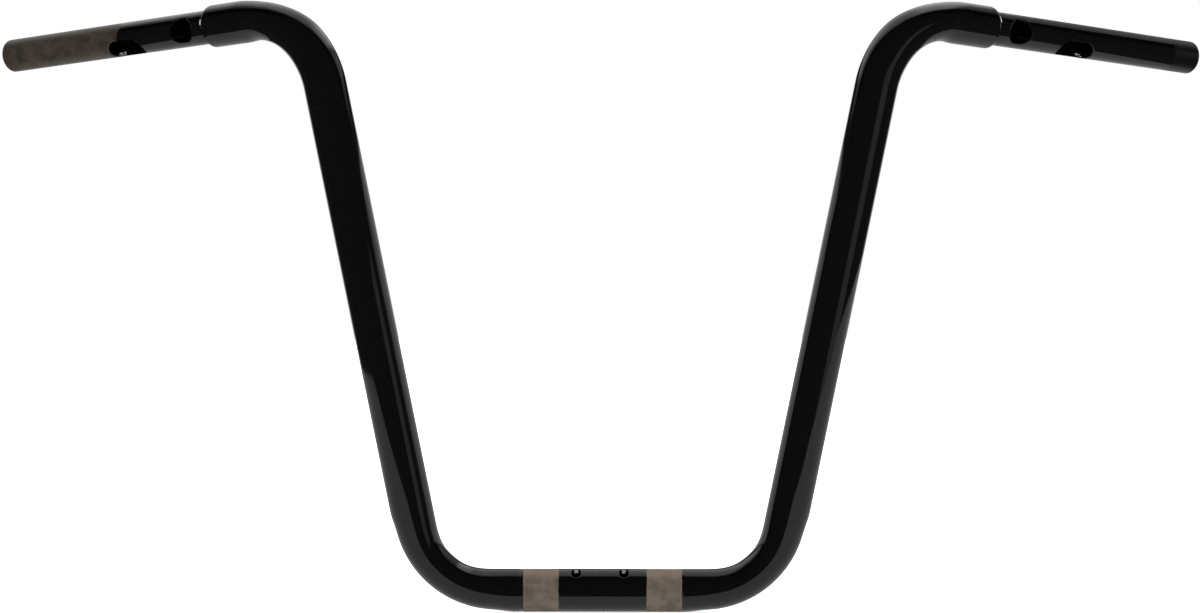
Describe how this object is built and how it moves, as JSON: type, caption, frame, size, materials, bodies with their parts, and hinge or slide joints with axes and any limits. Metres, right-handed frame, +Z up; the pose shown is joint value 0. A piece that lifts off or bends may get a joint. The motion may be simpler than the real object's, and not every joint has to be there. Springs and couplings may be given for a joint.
{
  "type": "motorcycle handlebar",
  "caption": "Tall U-shaped motorcycle handlebar: thick bent tube with thinner sleeved grip ends, wiring holes and bare clamp zones, in gloss black.",
  "frame": {"origin": "middle of the base tube's axis, between the two riser clamps", "axes": "+Z up, +X towards the rider's left hand along the base tube, +Y back towards the rider"},
  "size_m": [0.9512, 0.1746, 0.4544],
  "materials": {
    "gloss_black": "gloss powder coat",
    "bare_steel": "satin bare steel, painted black next to the step"
  },
  "bodies": {
    "root": {"main_tube": "gloss_black", "clutch_end_tube": "gloss_black", "throttle_end_tube": "bare_steel"}
  },
  "joints": []
}
